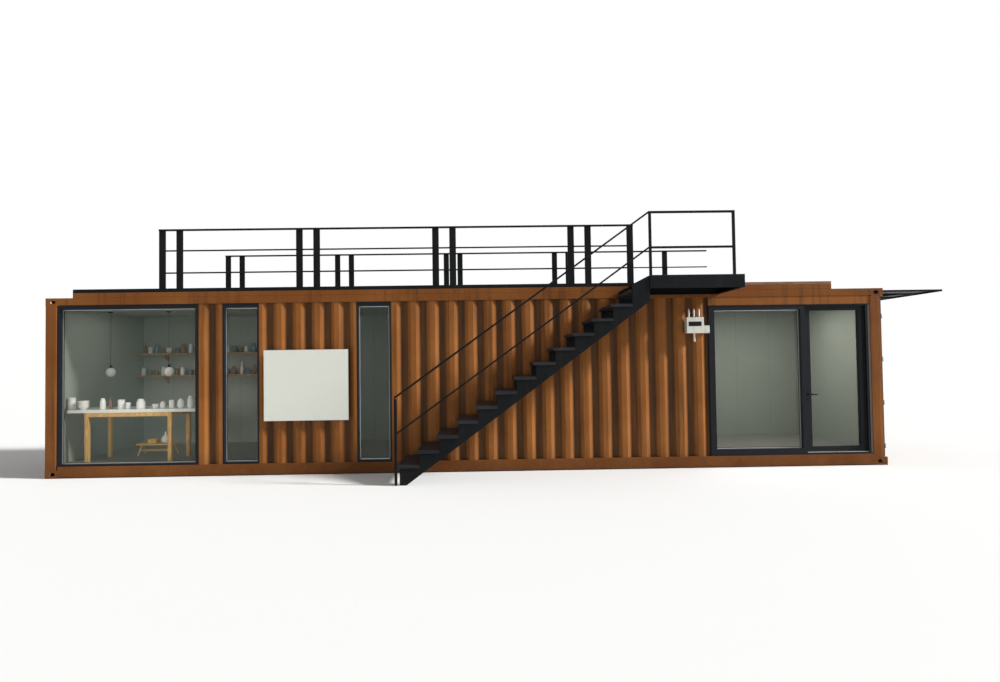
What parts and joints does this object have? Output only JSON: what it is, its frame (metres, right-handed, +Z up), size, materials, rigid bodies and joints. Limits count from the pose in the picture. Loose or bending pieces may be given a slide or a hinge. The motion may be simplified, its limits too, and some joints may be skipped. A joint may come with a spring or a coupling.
{
  "type": "shipping container cabin",
  "caption": "Corrugated steel shipping container fitted out as a cabin, with glazed front, hinged entrance door, railed roof terrace and an outside steel stair to it.",
  "frame": {"origin": "middle of the rectangle of the four bottom corner castings, on the ground face of the castings", "axes": "+X along the container from its blind end to its cargo doors, the glazed front and the stair face -Y, +Z up"},
  "size_m": [13.092, 3.408, 3.576],
  "materials": {
    "container_paint": "satin brown paint",
    "black_paint": "satin black paint",
    "frame_coating": "satin powder coat",
    "plated_steel": "dull zinc plating",
    "clear_glass": "clear",
    "deck_timber": "oiled boards",
    "batten_timber": "sawn",
    "white_lining": "painted boards",
    "board_white": "matt white",
    "box_grey": "light grey paint",
    "table_white": "white lacquer",
    "pale_wood": "clear varnish",
    "opal_glass": "opal",
    "crockery": "glossy glaze"
  },
  "bodies": {
    "cabin": {"awning_brackets": "black_paint", "awning_sheet": "black_paint", "back_wall": "container_paint", "blank_board": "board_white", "blind_end_wall": "container_paint", "board_battens": "batten_timber", "bottom_side_rails": "container_paint", "cargo_door_gear": "plated_steel", "cargo_doors": "container_paint", "ceiling": "white_lining", "corner_castings": "container_paint", "corner_posts": "container_paint", "electric_box": "box_grey", "end_linings": "white_lining", "end_members": "container_paint", "entrance_frame": "frame_coating", "floor_bearers": "black_paint", "floor_boards": "deck_timber", "front_railing": "black_paint", "front_wall": "container_paint", "front_wall_trims": "container_paint", "hinge_pins": "plated_steel", "landing_floor": "black_paint", "landing_frame": "black_paint", "landing_guard": "black_paint", "low_stool": "pale_wood", "pendant_lamps": "opal_glass", "rear_railing": "black_paint", "roof_sheet": "container_paint", "shelf_jars": "crockery", "stair_railing": "black_paint", "stair_stringers": "black_paint", "stair_treads": "black_paint", "table_frame": "pale_wood", "table_pots": "crockery", "table_top": "table_white", "terrace_deck": "deck_timber", "terrace_deck_edges": "black_paint", "terrace_frame": "container_paint", "top_side_rails": "container_paint", "wall_linings": "white_lining", "wall_shelves": "pale_wood", "window_frames": "frame_coating", "window_panes": "clear_glass"},
    "door": {"entrance_door": "frame_coating", "entrance_door_pane": "clear_glass", "door_handles": "plated_steel", "door_hinge_barrels": "plated_steel"}
  },
  "joints": [
    {"name": "entrance_door_hinge", "type": "hinge", "parent": "cabin", "child": "door", "pos_m": [5.841, -1.098, 0.2], "axis": [0, 0, 1], "range_deg": [-90, 0]}
  ]
}
